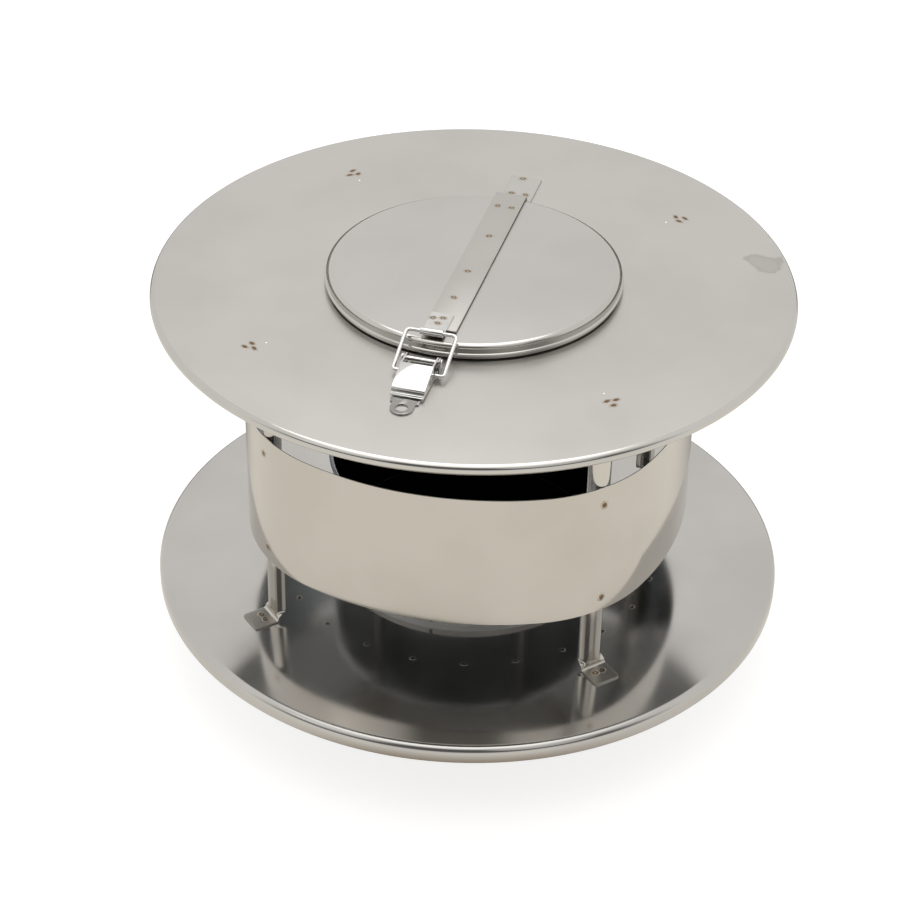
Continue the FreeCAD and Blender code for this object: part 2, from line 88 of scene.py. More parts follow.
class Nodes:
    """Short calls for the node tree of one material or world."""

    def __init__(self, tree):
        self.tree = tree
        tree.nodes.clear()

    def add(self, kind, inputs=None, **settings):
        node = self.tree.nodes.new(kind)
        for key, value in settings.items():
            setattr(node, key, value)
        for key, value in (inputs or {}).items():
            self.feed(node.inputs[key], value)
        return node

    def feed(self, socket, value):
        """Links the socket to another, or sets its value."""
        if isinstance(value, bpy.types.NodeSocket):
            self.tree.links.new(value, socket)
        else:
            socket.default_value = value

    def math(self, operation, a, b=0.0, clamp=False):
        node = self.add("ShaderNodeMath", {0: a, 1: b}, operation=operation, use_clamp=clamp)
        return node.outputs[0]

    def noise(self, vector, scale, detail, roughness=0.55):
        node = self.add("ShaderNodeTexNoise",
                        {"Vector": vector, "Scale": scale, "Detail": detail, "Roughness": roughness})
        return node.outputs["Fac"]

    def spread(self, value, low_in, high_in, low_out, high_out, smooth=True):
        """value carried from one range to another, and held at its ends."""
        node = self.add("ShaderNodeMapRange", {
            "Value": value, "From Min": low_in, "From Max": high_in, "To Min": low_out, "To Max": high_out,
        })
        node.interpolation_type = "SMOOTHSTEP" if smooth else "LINEAR"
        return node.outputs["Result"]

    def mix(self, factor, first, second):
        """Two colours mixed by a factor."""
        node = self.add("ShaderNodeMix", data_type="RGBA")
        for index, value in ((0, factor), (6, first), (7, second)):
            self.feed(node.inputs[index], value)
        return node.outputs[2]

    def stretched(self, vector, scale):
        node = self.add("ShaderNodeMapping", {"Vector": vector, "Scale": scale}, vector_type="POINT")
        return node.outputs["Vector"]

    def parts(self, vector):
        return self.add("ShaderNodeSeparateXYZ", {0: vector}).outputs

    def length(self, vector):
        node = self.add("ShaderNodeVectorMath", {0: vector}, operation="LENGTH")
        return node.outputs["Value"]

    def towards_camera(self, parts):
        """How far a level place or direction reaches towards the reference camera's side."""
        return self.math("ADD", self.math("MULTIPLY", parts[X], TO_CAMERA.x),
                         self.math("MULTIPLY", parts[Y], TO_CAMERA.y))


def colour(red, green, blue):
    return (red, green, blue, 1.0)


def along(axis, stretch):
    """Scales that draw the grain out along one axis."""
    return tuple(stretch if k == axis else 1.0 for k in range(3))


def new_material(name):
    material = bpy.data.materials.new(name)
    material.use_nodes = True
    return material, Nodes(material.node_tree)


def place_of(nodes):
    return nodes.add("ShaderNodeTexCoord").outputs["Object"]


GRAIN_SCALE = 900.0
HAZE_SCALE = 24.0
HAZE_RANGE = (0.3, 0.75)
RELIEF_DEPTH = 0.0002


def finish_steel(nodes, tint, roughness, height, bump):
    """A metal shader from a tint, a roughness and a height that the caller has made."""
    bumped = nodes.add("ShaderNodeBump", {"Height": height, "Strength": bump, "Distance": RELIEF_DEPTH})
    shader = nodes.add("ShaderNodeBsdfPrincipled", {
        "Base Color": tint, "Metallic": 1.0, "Roughness": roughness, "Normal": bumped.outputs["Normal"],
    })
    nodes.add("ShaderNodeOutputMaterial", {"Surface": shader.outputs["BSDF"]})


def sheet_steel(name, pale, dark, smooth, rough, grain=(1.0, 1.0, 1.0), bump=0.002, patch=9.0, blotch=None):
    """Rolled stainless sheet: faint clouds, a fine grain along one axis, and a darker blotch where one is asked
    for.
    """
    material, nodes = new_material(name)
    place = place_of(nodes)
    cloud = nodes.noise(place, patch, 3.0)
    speckle = nodes.noise(nodes.stretched(place, grain), GRAIN_SCALE, 1.0)
    haze = nodes.noise(place, HAZE_SCALE, 1.0)
    factor = nodes.spread(cloud, 0.35, 0.68, 0.0, 0.8)
    factor = nodes.math("ADD", factor, nodes.spread(speckle, 0.3, 0.7, -0.02, 0.02, False))
    factor = nodes.math("ADD", factor, nodes.spread(haze, *HAZE_RANGE, -0.08, 0.12), True)
    tint = nodes.mix(factor, pale, dark)
    if blotch:
        tint = blotched(nodes, place, tint, *blotch)
    worn = nodes.spread(haze, *HAZE_RANGE, smooth, rough)
    finish_steel(nodes, tint, worn, speckle, bump)
    return material


def blotched(nodes, place, tint, centre, radius, shade):
    """A ragged patch with a dull rim, darker than the sheet by shade."""
    offset = nodes.add("ShaderNodeVectorMath", {0: place, 1: centre}, operation="SUBTRACT").outputs[0]
    ragged = nodes.math("MULTIPLY", nodes.noise(place, 70.0, 2.0), 1.6 * radius)
    reach = nodes.math("ADD", nodes.length(offset), ragged)
    patch = nodes.spread(reach, 1.35 * radius, 1.85 * radius, 0.55, 0.0)
    rim = nodes.spread(nodes.math("ABSOLUTE", nodes.math("SUBTRACT", reach, 1.6 * radius)),
                       0.0, 0.22 * radius, 0.45, 0.0)
    return nodes.mix(nodes.math("ADD", patch, rim, True), tint, shade)


# Oxide colours, each up to a limit of heat
HEAT_COLOURS = (
    (0.3, colour(0.55, 0.47, 0.37)), (0.55, colour(0.26, 0.18, 0.11)), (0.72, colour(0.13, 0.10, 0.07)),
    (0.88, colour(0.40, 0.36, 0.28)), (1.0, colour(0.56, 0.52, 0.45)),
)


def weld_steel(name, ground, roughness):
    """Oxide colours of a spot weld: light in the middle, then brown, then straw, then the sheet itself."""
    material, nodes = new_material(name)
    mottle = nodes.noise(place_of(nodes), 1100.0, 2.0)
    heat = nodes.add("ShaderNodeAttribute", attribute_name="oxide").outputs["Fac"]
    heat = nodes.math("MULTIPLY", heat, nodes.spread(mottle, 0.3, 0.7, 0.88, 1.08, False), True)
    tint = ground
    before = 0.02
    for limit, oxide in HEAT_COLOURS:
        tint = nodes.mix(nodes.spread(heat, before, limit, 0.0, 1.0), tint, oxide)
        before = limit
    finish_steel(nodes, tint, roughness, mottle, 0.1)
    return material


# Place, radius and colour of the darker blotch on the roof
ROOF_BLOTCH = ((0.170, 0.074, 0.2665), 0.012, colour(0.45, 0.435, 0.41))

SATIN = sheet_steel("satin_sheet_steel", colour(0.64, 0.625, 0.60), colour(0.585, 0.57, 0.545), 0.285, 0.335,
                    along(Y, 0.08), blotch=ROOF_BLOTCH)
LID_SATIN = sheet_steel("satin_lid_steel", colour(0.62, 0.605, 0.585), colour(0.575, 0.56, 0.54), 0.28, 0.32,
                        along(Y, 0.06))
BASE_SATIN = sheet_steel("base_sheet_steel", colour(0.62, 0.605, 0.585), colour(0.56, 0.55, 0.535), 0.11, 0.16,
                         along(X, 0.08))
POLISHED = sheet_steel("polished_band_steel", colour(0.64, 0.61, 0.565), colour(0.60, 0.57, 0.525), 0.06, 0.1,
                       along(Z, 0.06), patch=14.0)
# Ground steel at the riser's foot: its roughness is the grinding, its pale colour a painted highlight standing in
# for a bright reflection
GROUND_PIPE_HIGHLIGHT = sheet_steel("ground_pipe_steel_painted_highlight", colour(0.86, 0.85, 0.82), colour(0.78, 0.77, 0.74), 0.45, 0.55,
                          along(Z, 0.06))
# Bright pipe steel; its bluish tint is a painted reflection, the blue cast of the dark room seen in the pipes
BLUE_CAST_PIPE = sheet_steel("bright_pipe_steel_painted_blue_cast", colour(0.64, 0.65, 0.66), colour(0.57, 0.58, 0.595), 0.1, 0.16,
                   along(Z, 0.06))
# Painted shade: a darker, bluish copy of the sheet steel for the roof's underside and the band's inside, where
# shade falls
PAINTED_SHADE_STEEL = sheet_steel("inner_sheet_steel_painted_shade", colour(0.53, 0.56, 0.60), colour(0.48, 0.51, 0.55), 0.14, 0.22,
                     along(Z, 0.06))
LEG_STEEL = sheet_steel("rolled_leg_steel", colour(0.68, 0.655, 0.61), colour(0.58, 0.555, 0.51), 0.1, 0.18,
                        along(Z, 0.05))
STRAP_STEEL = sheet_steel("satin_strap_steel", colour(0.56, 0.54, 0.515), colour(0.515, 0.495, 0.475), 0.28, 0.34,
                          along(Y, 0.05))
LEAF_STEEL = sheet_steel("satin_leaf_steel", colour(0.64, 0.625, 0.60), colour(0.59, 0.575, 0.55), 0.28, 0.35,
                         along(Y, 0.05))
# The feet get a darker, rougher steel than the legs
DARKER_FOOT_STEEL = sheet_steel("darker_foot_steel", colour(0.50, 0.48, 0.45), colour(0.40, 0.38, 0.35), 0.28, 0.36,
                         patch=40.0)
EDGE_STEEL = sheet_steel("polished_edge_steel", colour(0.66, 0.645, 0.62), colour(0.60, 0.585, 0.56), 0.09, 0.14)
# Painted shade: the latch base is darker steel, standing for the shadow of the lever on it
PAINTED_SHADE_LATCH = sheet_steel("painted_shade_latch_steel", colour(0.42, 0.415, 0.40), colour(0.34, 0.335, 0.325), 0.12, 0.2,
                         patch=60.0)
BRIGHT = sheet_steel("bright_latch_steel", colour(0.82, 0.815, 0.8), colour(0.72, 0.71, 0.69), 0.07, 0.14,
                     patch=60.0)
# Painted shade: near-black steel for the pipes' insides, where no light reaches
PAINTED_SHADE_INSIDE = sheet_steel("painted_shade_pipe_inside", colour(0.03, 0.03, 0.03), colour(0.012, 0.012, 0.012), 0.4, 0.55,
                   bump=0.05)
SHEET_WELD = weld_steel("weld_on_sheet", colour(0.61, 0.595, 0.57), 0.3)
STRAP_WELD = weld_steel("weld_on_strap", colour(0.585, 0.57, 0.545), 0.31)
BASE_WELD = weld_steel("weld_on_base", colour(0.59, 0.58, 0.56), 0.14)
BAND_WELD = weld_steel("weld_on_band", colour(0.62, 0.59, 0.545), 0.12)


# Shapes


def rounded(corners, closed=True):
    """Points of an outline whose corners (a, b, radius) are rounded by arcs."""
    points = []
    count = len(corners)
    for i, (a, b, radius) in enumerate(corners):
        corner = Vector((a, b))
        if not radius or (not closed and i in (0, count - 1)):
            points.append(corner)
            continue
        back = (Vector(corners[i - 1][:2]) - corner).normalized()
        ahead = (Vector(corners[(i + 1) % count][:2]) - corner).normalized()
        half = back.angle(ahead) / 2
        centre = corner + (back + ahead).normalized() * (radius / math.sin(half))
        start = corner + back * (radius / math.tan(half)) - centre
        turn = math.pi - 2 * half
        side = 1 if start.x * ahead.y - start.y * ahead.x > 0 else -1
        for step in range(ARC_STEPS + 1):
            angle = side * turn * step / ARC_STEPS
            points.append(centre + Matrix.Rotation(angle, 2) @ start)
    return points


def in_metres(corners):
    return [(a * MM, b * MM, r * MM) for a, b, r in corners]


def arc(centre, radius, start, turn, steps):
    """Points on an arc, with its angles in degrees."""
    points = []
    for step in range(steps + 1):
        angle = math.radians(start + turn * step / steps)
        points.append(Vector((centre[0] + radius * math.cos(angle), centre[1] + radius * math.sin(angle))))
    return points


def polar(radius, azimuth, height, aside=0.0):
    """A point at a radius and azimuth, moved aside along the tangent. Millimetres."""
    x = radius * math.cos(azimuth) - aside * math.sin(azimuth)
    y = radius * math.sin(azimuth) + aside * math.cos(azimuth)
    return Vector((x, y, height)) * MM


def placed(name, data):
    """A new object of the scene."""
    thing = bpy.data.objects.new(name, data)
    bpy.context.scene.collection.objects.link(thing)
    return thing


def mesh_object(name, vertices, faces, material):
    mesh = bpy.data.meshes.new(name)
    mesh.from_pydata(vertices, [], faces)
    mesh.materials.append(material)
    shade(mesh)
    return placed(name, mesh)


def shade(mesh):
    """Outward faces, smooth except at edges sharper than the limit."""
    work = bmesh.new()
    work.from_mesh(mesh)
    bmesh.ops.remove_doubles(work, verts=work.verts, dist=1e-7)
    bmesh.ops.recalc_face_normals(work, faces=work.faces)
    work.to_mesh(mesh)
    work.free()
    mesh.shade_smooth()
    mesh.set_sharp_from_angle(angle=SHARP_ANGLE)


def closed_grid(rows, columns, joined):
    """Faces between rows of points, each row a ring and the last row next to the first."""
    faces = []
    for row in range(rows):
        here = row * columns
        there = (row + 1) % rows * columns
        for i in range(columns):
            j = (i + 1) % columns
            if joined(i, j):
                faces.append((here + i, here + j, there + j, there + i))
    return faces


def spun(name, outline, material):
    """A closed section (radius, height) in metres, spun about the cap's axis."""
    vertices = []
    for k in range(AROUND):
        angle = 2 * math.pi * k / AROUND
        for p in outline:
            vertices.append((p.x * math.cos(angle), p.x * math.sin(angle), p.y))
    faces = closed_grid(AROUND, len(outline), lambda i, j: outline[i].x >= 1e-9 or outline[j].x >= 1e-9)
    return mesh_object(name, vertices, faces, material)


def break_edges(piece, width):
    """A small rounding along the piece's sharp edges, kept in its mesh."""
    modifier = piece.modifiers.new("edges", "BEVEL")
    modifier.width = width
    modifier.segments = 3
    modifier.limit_method = "ANGLE"
    modifier.angle_limit = BEVEL_ANGLE
    depsgraph = bpy.context.evaluated_depsgraph_get()
    finished = bpy.data.meshes.new_from_object(piece.evaluated_get(depsgraph))
    piece.modifiers.clear()
    piece.data = finished
    finished.shade_smooth()
    finished.set_sharp_from_angle(angle=SHARP_ANGLE)


def from_axis(face):
    """Distance of a face's centre from the cap's axis."""
    return math.hypot(*face.center.xy)


def second_material(piece, material, chosen):
    """A further material, on those faces for which chosen says yes."""
    piece.data.materials.append(material)
    index = len(piece.data.materials) - 1
    for face in piece.data.polygons:
        if chosen(face):
            face.material_index = index


def darken_inside(piece, radius, height):
    """Painted shade: near-black steel on faces nearer the axis than radius and below height."""
    second_material(piece, PAINTED_SHADE_INSIDE, lambda face: from_axis(face) < radius and face.center.z < height)


def dress(piece, node, body):
    """The piece stands for a CAD node and moves with its body."""
    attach(piece, body)
    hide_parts(node)


# Sheets that are round about the cap's axis. Sections are lists of (radius, height, rounding).

PLATE = 1.0
PLATE_HEM = 5.0
PLATE_SHOULDER = 5.0
FLANGE_OVERLAP = 8.5
BEAD_TURN = 262
BEAD_SHINE = 0.4
LID_SHEET = 0.8
LID_HEM = 3.0
LID_HEM_WIDTH = 2.6
LID_HEM_STEP = 1.1
LID_HEM_SLOPE = 0.6
LEVEL = 0.985
NECK_SHEET = 0.8
NECK_FLANGE = 9.0
PIPE_SHEET = 0.8
PIPE_FIT = 0.2
NECKING = 1.6
RISER_FOOT = 3.4
RISER_FOOT_HEIGHT = 5.0
RISER_CURL = 1.6
CURL_START = -120
CURL_TURN = 300
GROUND_HIGHLIGHT_HEIGHT = 7.0
SEAM_AZIMUTH = math.radians(-90)
SEAM_HALF_WIDTH = 1.1
SEAM_RISE = 0.18
SEAM_LIFT = 0.02
SEAM_STEPS = 8


def base_plate():
    radius = high("base_plate").x / MM
    top = high("base_plate").z / MM
    bottom = low("base_plate").z / MM
    hole = high("flue_spigot").x / MM + PIPE_FIT
    outline = rounded(in_metres([
        (hole, top - PLATE, 0),
        (hole, top, 0),
        (radius, top, PLATE_SHOULDER),
        (radius, bottom, PLATE),
        (radius - 2 * PLATE, bottom, PLATE * 0.9),
        (radius - 2 * PLATE, bottom + PLATE_HEM, 0.4),
        (radius - PLATE, bottom + PLATE_HEM, 0.2),
        (radius - PLATE, top - PLATE, PLATE_SHOULDER - PLATE),
    ]))
    dress(spun("base_plate_skin", outline, BASE_SATIN), "base_plate", "cap")


def top_plate():
    """The flat roof plate, its edge curled down and in."""
    radius = high("top_plate").x
    top = high("top_plate").z
    bead = (top - low("top_plate").z) / 2
    sheet = PLATE * MM
    hole = high("hatch_neck").x - FLANGE_OVERLAP * MM
    centre = (radius - bead, top - bead)
    outline = [Vector((hole, top - sheet)), Vector((hole, top))]
    outline += arc(centre, bead, 90, -BEAD_TURN, BEAD_STEPS)
    outline += arc(centre, bead - sheet, 90 - BEAD_TURN, BEAD_TURN, BEAD_STEPS)
    piece = spun("top_plate_skin", outline, SATIN)
    flat = radius - 2 * bead
    edge = radius - bead + BEAD_SHINE * MM
    # Painted shade on the roof's underside
    second_material(piece, PAINTED_SHADE_STEEL, lambda face: face.normal.z < -0.5 and from_axis(face) < flat)
    second_material(piece, EDGE_STEEL, lambda face: from_axis(face) > edge)
    dress(piece, "top_plate", "cap")


def hatch_lid():
    """The pressed lid: flat top, rounded shoulder, groove and rolled hem."""
    outer = high("hatch_lid").x / MM
    top = high("hatch_lid").z / MM
    bottom = low("hatch_lid").z / MM
    skirt = outer - LID_HEM_STEP
    outline = rounded(in_metres([
        (0, top - LID_SHEET, 0),
        (skirt - LID_SHEET, top - LID_SHEET, 3.2),
        (skirt - LID_SHEET, bottom + LID_HEM, 0.3),
        (outer - LID_HEM_WIDTH, bottom + LID_HEM, 0.2),
        (outer - LID_HEM_WIDTH, bottom, 1.2),
        (outer, bottom, 1.25),
        (outer, bottom + LID_HEM, 1.4),
        (skirt, bottom + LID_HEM + LID_HEM_SLOPE, 0.4),
        (skirt, top, 2.6),
        (0, top, 0),
    ]))
    piece = spun("hatch_lid_skin", outline, LID_SATIN)
    second_material(piece, EDGE_STEEL, lambda face: abs(face.normal.z) < LEVEL)
    dress(piece, "hatch_lid", "lid")


def hatch_neck():
    flange = high("hatch_neck").x / MM
    top = high("hatch_neck").z / MM
    bottom = low("hatch_neck").z / MM
    radius = flange - NECK_FLANGE
    outline = rounded(in_metres([
        (radius - NECK_SHEET, bottom, 1.3),
        (flange, bottom, 0.2),
        (flange, bottom + NECK_SHEET, 0.2),
        (radius, bottom + NECK_SHEET, 0.5),
        (radius, top, 0.3),
        (radius - NECK_SHEET, top, 0.3),
    ]))
    dress(spun("hatch_neck_skin", outline, SATIN), "hatch_neck", "cap")


def flue_riser():
    """The pipe inside the band: foot turned out, rim rolled, bright outside with a painted highlight at its foot,
    dark with painted shade inside.
    """
    foot = high("flue_riser").x / MM
    top = high("flue_riser").z / MM
    bottom = low("flue_riser").z / MM
    wall = foot - RISER_FOOT
    inner = wall - PIPE_SHEET
    curl_height = top - RISER_CURL
    skin = rounded(in_metres([
        (inner, bottom + RISER_FOOT_HEIGHT, 0),
        (inner, bottom, 1.2),
        (foot, bottom, 0.15),
        (foot, bottom + PIPE_SHEET, 0.35),
        (wall, bottom + PIPE_SHEET, 0.4),
        (wall, bottom + GROUND_HIGHLIGHT_HEIGHT, 0),
        (wall, curl_height - RISER_CURL, 0),
    ]), closed=False)
    skin += arc(((inner + RISER_CURL) * MM, curl_height * MM), RISER_CURL * MM, CURL_START, CURL_TURN, CURL_STEPS)
    piece = spun("flue_riser_skin", skin, BLUE_CAST_PIPE)
    darken_inside(piece, (inner + 0.3) * MM, (top - 1.2 * RISER_CURL) * MM)
    outside = (wall - 0.2) * MM
    ground_highlight_top = (bottom + GROUND_HIGHLIGHT_HEIGHT) * MM
    # A pale strip at the riser's foot: rougher ground steel and a painted highlight
    second_material(piece, GROUND_PIPE_HIGHLIGHT, lambda face: from_axis(face) > outside and face.center.z < ground_highlight_top)
    pipe_seam(wall, bottom + 2.0, curl_height - RISER_CURL)
    dress(piece, "flue_riser", "cap")


def pipe_seam(radius, bottom, top):
    """The riser's long weld: a low rounded ridge up its outside."""
    vertices = []
    for z in (bottom, top):
        for k in range(SEAM_STEPS + 1):
            share = 2 * k / SEAM_STEPS - 1
            proud = SEAM_RISE * (1 - share * share) + SEAM_LIFT
            vertices.append(tuple(polar(radius + proud, SEAM_AZIMUTH, z, SEAM_HALF_WIDTH * share)))
    wide = SEAM_STEPS + 1
    faces = [(k, k + 1, k + 1 + wide, k + wide) for k in range(SEAM_STEPS)]
    faces += [(0, wide, 2 * wide - 1, SEAM_STEPS), tuple(range(wide)), tuple(range(wide, 2 * wide))]
    piece = mesh_object("riser_seam", vertices, faces, BLUE_CAST_PIPE)
    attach(piece, "cap")


def flue_spigot():
    """The pipe that enters the flue. It narrows inside the base plate's hole."""
    outer = high("flue_spigot").x / MM
    top = high("flue_spigot").z / MM
    plate_top = high("base_plate").z / MM
    plate_under = plate_top - PLATE
    inner = outer - PIPE_SHEET
    drop = PIPE_SHEET * math.tan(math.atan2(NECKING, PLATE) / 2)
    corners = (
        (inner, 0), (outer, 0), (outer, plate_under), (outer - NECKING, plate_top), (outer - NECKING, top),
        (inner - NECKING, top), (inner - NECKING, plate_top - drop), (inner, plate_under - drop),
    )
    outline = rounded(in_metres([(radius, height, 0.2) for radius, height in corners]))
    piece = spun("flue_spigot_skin", outline, BLUE_CAST_PIPE)
    darken_inside(piece, (inner + 0.1) * MM, (top - 0.3) * MM)
    dress(piece, "flue_spigot", "cap")


# Wind band and legs

BAND_SHEET = 0.8 * MM
BAND_EDGE = 0.15 * MM
LEG_CROWN = 149.0
LEG_EDGE = 141.5
LEG_SHEET = 1.2
LEG_ROUND = 8.0
LEG_FLAT = 147.6
LEG_BEND = 1.6
LEG_FORMING = 5.0
LEG_ACROSS = 16
FOOT_HALF = 8.75
FOOT_CORNER = 1.5
FOOT_TIP = 164.0
TIP_STEPS = 3
BEND_STEPS = 6
FORMING_STEPS = 8


def leg_azimuths():
    """Angle of each leg about the axis, from its CAD node."""
    angles = []
    for k in range(4):
        centre = (low(f"leg_{k + 1}") + high(f"leg_{k + 1}")) / 2
        angles.append(math.atan2(centre.y, centre.x))
    return angles


def band_radii():
    """The band's outer radius at a leg and between two legs, from its CAD node."""
    distances = [math.hypot(v.co.x, v.co.y) for v in frame["nodes"]["wind_band"].data.vertices]
    return max(distances), min(distances) + BAND_SHEET


def band_outline(inset):
    """An arc at each leg and a flatter one between, with one tangent where they meet."""
    at_leg, between = band_radii()
    quarter = math.pi / 4
    half = quarter / 2
    rise = math.sin(quarter) / math.sin(half)
    slope = 1 - math.cos(half)
    sharp = (between - at_leg * (math.cos(quarter) + slope * rise)) / (
        math.cos(half) - math.cos(quarter) - slope * (rise - 1))
    flat = rise * (at_leg - sharp) + sharp
    points = []
    for azimuth in leg_azimuths():
        for distance, radius, middle in ((at_leg - sharp, sharp, azimuth),
                                         (between - flat, flat, azimuth + quarter)):
            for step in range(BAND_STEPS):
                angle = middle - half + 2 * half * step / BAND_STEPS
                points.append(Vector((
                    distance * math.cos(middle) + (radius - inset) * math.cos(angle),
                    distance * math.sin(middle) + (radius - inset) * math.sin(angle),
                )))
    return points


def wind_band():
    top = high("wind_band").z
    bottom = low("wind_band").z
    rings = [
        (BAND_EDGE, bottom), (0.0, bottom + BAND_EDGE), (0.0, top - BAND_EDGE), (BAND_EDGE, top),
        (BAND_SHEET - BAND_EDGE, top), (BAND_SHEET, top - BAND_EDGE), (BAND_SHEET, bottom + BAND_EDGE),
        (BAND_SHEET - BAND_EDGE, bottom),
    ]
    loops = [[(p.x, p.y, z) for p in band_outline(inset)] for inset, z in rings]
    vertices = [v for loop in loops for v in loop]
    faces = closed_grid(len(rings), len(loops[0]), lambda i, j: True)
    piece = mesh_object("wind_band_skin", vertices, faces, POLISHED)
    # Painted shade on the band's inside faces
    second_material(piece, PAINTED_SHADE_STEEL, lambda face: face.normal.x * face.center.x + face.normal.y * face.center.y < 0)
    dress(piece, "wind_band", "cap")


def leg_sections():
    """Sections of a leg's lower half, from the foot's tip upwards.

    Each has a point on the strip's outer face, the direction to its inner face in the radial
    plane, the half width and how much of the half-round form it has."""
    sections = []
    for step in range(TIP_STEPS + 1):
        angle = math.radians(90 * step / TIP_STEPS)
        sections.append((FOOT_TIP - FOOT_CORNER * (1 - math.cos(angle)), LEG_SHEET, 0.0, -1.0,
                         FOOT_HALF - FOOT_CORNER * (1 - math.sin(angle)), 0.0))
    for step in range(BEND_STEPS + 1):
        angle = math.radians(90 - 90 * step / BEND_STEPS)
        sections.append((LEG_FLAT + LEG_BEND * (1 - math.cos(angle)),
                         LEG_SHEET + LEG_BEND * (1 - math.sin(angle)),
                         -math.cos(angle), -math.sin(angle), FOOT_HALF, 0.0))
    for step in range(1, FORMING_STEPS + 1):
        share = step / FORMING_STEPS
        ease = share * share * (3 - 2 * share)
        sections.append((LEG_FLAT, LEG_SHEET + LEG_BEND + LEG_FORMING * share, -1.0, 0.0, FOOT_HALF, ease))
    return sections


def leg_row(section, inset):
    """Points across the strip, on its outer face or one sheet further in."""
    x, z, to_x, to_z, half, share = section
    limit = math.acos((LEG_EDGE - (LEG_CROWN - LEG_ROUND)) / LEG_ROUND)
    row = []
    for k in range(LEG_ACROSS + 1):
        part = 2 * k / LEG_ACROSS - 1
        angle = limit * part
        radius = LEG_ROUND - inset
        round_x = max(LEG_CROWN - LEG_ROUND + radius * math.cos(angle), LEG_EDGE)
        flat_x = x + to_x * inset
        row.append(Vector((flat_x + share * (round_x - flat_x),
                           half * part + share * (radius * math.sin(angle) - half * part),
                           z + to_z * inset)) * MM)
    return row


def leg(index, azimuth):
    """A strip, flat at its feet and half round between them, bent outwards at both ends."""
    base = low(f"leg_{index}").z
    top = high(f"leg_{index}").z
    sections = leg_sections()
    sides = []
    for inset in (0.0, LEG_SHEET):
        lower = [[p + Vector((0, 0, base)) for p in leg_row(s, inset)] for s in sections]
        upper = [[Vector((p.x, p.y, top - p.z)) for p in leg_row(s, inset)] for s in reversed(sections)]
        sides.append(lower + upper)
    rows = len(sides[0])
    wide = LEG_ACROSS + 1
    half = rows * wide
    turn = Matrix.Rotation(azimuth, 4, "Z")
    vertices = [turn @ p for side in sides for row in side for p in row]
    faces = []
    for i in range(rows - 1):
        for k in range(LEG_ACROSS):
            a = i * wide + k
            faces.append((a, a + 1, a + wide + 1, a + wide))
            faces.append((half + a, half + a + wide, half + a + wide + 1, half + a + 1))
        for k in (0, LEG_ACROSS):
            a = i * wide + k
            faces.append((a, a + wide, half + a + wide, half + a))
    for i in (0, rows - 1):
        for k in range(LEG_ACROSS):
            a = i * wide + k
            faces.append((a, a + 1, half + a + 1, half + a))
    piece = mesh_object(f"leg_{index}_skin", vertices, faces, LEG_STEEL)
    break_edges(piece, 0.2 * MM)
    second_material(piece, DARKER_FOOT_STEEL, lambda face: from_axis(face) > (LEG_CROWN + 0.4) * MM)
    dress(piece, f"leg_{index}", "cap")


# Hinge, strap and latch

WIRE = 1.25 * MM
BAIL_TOP_BEND = 3.2 * MM
BAIL_END_BEND = 1.9 * MM
BAIL_END_GAP = 0.3 * MM
BAIL_STEPS = 10


def refined(node, body, material, bevel):
    """The CAD piece's own form with its edges broken by a small bevel."""
    mesh = frame["nodes"][node].data.copy()
    mesh.name = node + "_finished"
    work = bmesh.new()
    work.from_mesh(mesh)
    bmesh.ops.remove_doubles(work, verts=work.verts, dist=2e-6)
    bmesh.ops.dissolve_limit(work, angle_limit=LEVEL_ANGLE, verts=work.verts, edges=work.edges)
    work.to_mesh(mesh)
    work.free()
    mesh.materials.clear()
    mesh.materials.append(material)
    piece = placed(node + "_finished", mesh)
    break_edges(piece, bevel)
    dress(piece, node, body)


def bail():
    """The bright wire loop as a round tube along its smooth line."""
    lower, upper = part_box("latch_bail")
    middle = (lower.x + upper.x) / 2
    side = upper.x - WIRE - middle
    inward = high("latch_lever").x - middle + BAIL_END_GAP

    def at_end(x):
        return Vector((middle + x, lower.y + WIRE, lower.z + WIRE))

    def at_top(x):
        return Vector((middle + x, upper.y - WIRE, upper.z - WIRE))

    corners = [
        (at_end(-inward), 0.0),
        (at_end(-side), BAIL_END_BEND),
        (at_top(-side), BAIL_TOP_BEND),
        (at_top(side), BAIL_TOP_BEND),
        (at_end(side), BAIL_END_BEND),
        (at_end(inward), 0.0),
    ]
    path = []
    for i, (corner, radius) in enumerate(corners):
        if not radius:
            path.append(corner)
            continue
        back = (corners[i - 1][0] - corner).normalized()
        ahead = (corners[i + 1][0] - corner).normalized()
        for step in range(BAIL_STEPS + 1):
            share = step / BAIL_STEPS
            path.append(corner + back * radius * (1 - share) ** 2 + ahead * radius * share ** 2)
    curve = bpy.data.curves.new("latch_bail_wire", "CURVE")
    curve.dimensions = "3D"
    curve.bevel_depth = WIRE
    curve.bevel_resolution = 6
    curve.use_fill_caps = True
    spline = curve.splines.new("POLY")
    spline.points.add(len(path) - 1)
    for point, place in zip(spline.points, path):
        point.co = (*place, 1.0)
    curve.materials.append(BRIGHT)
    dress(placed("latch_bail_wire", curve), "latch_bail", "bail")


# Spot welds. Places are in millimetres.

UP = (0, 0, 1)

# Share of the weld's radius, heat and height of each ring
WELD_PROFILE = (
    (0.0, 1.0, 0.05), (0.2, 0.97, 0.05), (0.34, 0.84, 0.07), (0.46, 0.70, 0.10), (0.58, 0.52, 0.07),
    (0.72, 0.30, 0.04), (0.86, 0.12, 0.025), (1.0, 0.0, 0.015),
)
WELD_AROUND = 32
WELD_LIFT = 0.01

# Greatest heat of a weld: with a light middle, or brown all over
RING = 1.0
TICK = 0.66

